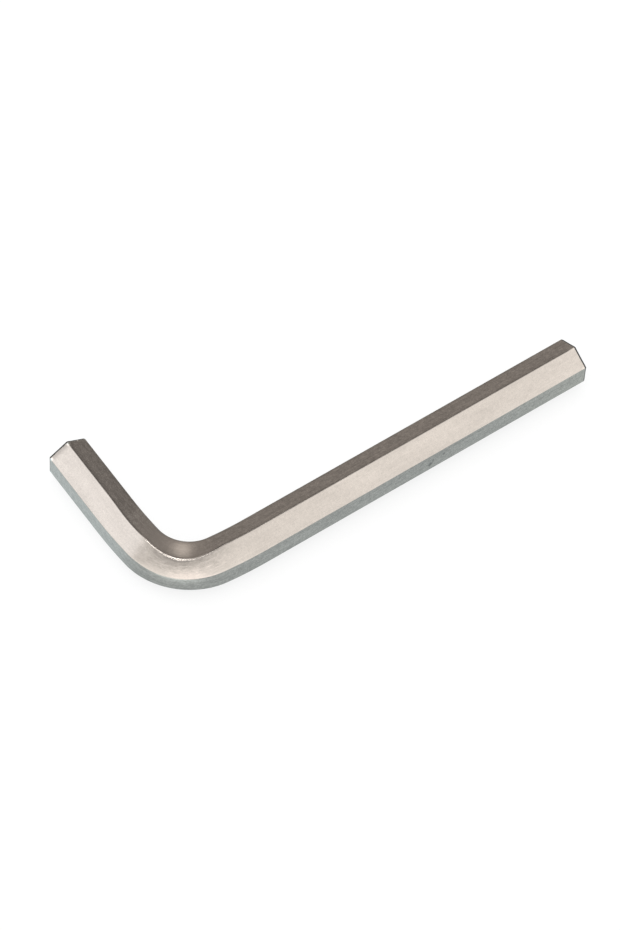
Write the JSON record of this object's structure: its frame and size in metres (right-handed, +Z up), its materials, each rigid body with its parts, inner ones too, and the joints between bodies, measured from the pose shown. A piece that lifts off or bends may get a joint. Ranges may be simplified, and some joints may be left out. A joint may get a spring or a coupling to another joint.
{
  "type": "hex key",
  "caption": "L-shaped key of hexagonal steel bar with rounded edges and chamfered tips, for turning hexagon socket screws.",
  "frame": {"origin": "middle of the key's box, on the surface it lies on", "axes": "+X along the long arm towards its tip, +Y along the short arm towards its tip, +Z up"},
  "size_m": [0.1216, 0.0494, 0.0114],
  "materials": {
    "nickel_plate": "satin nickel plate on drawn steel"
  },
  "bodies": {
    "root": {"hex_key": "nickel_plate"}
  },
  "joints": []
}
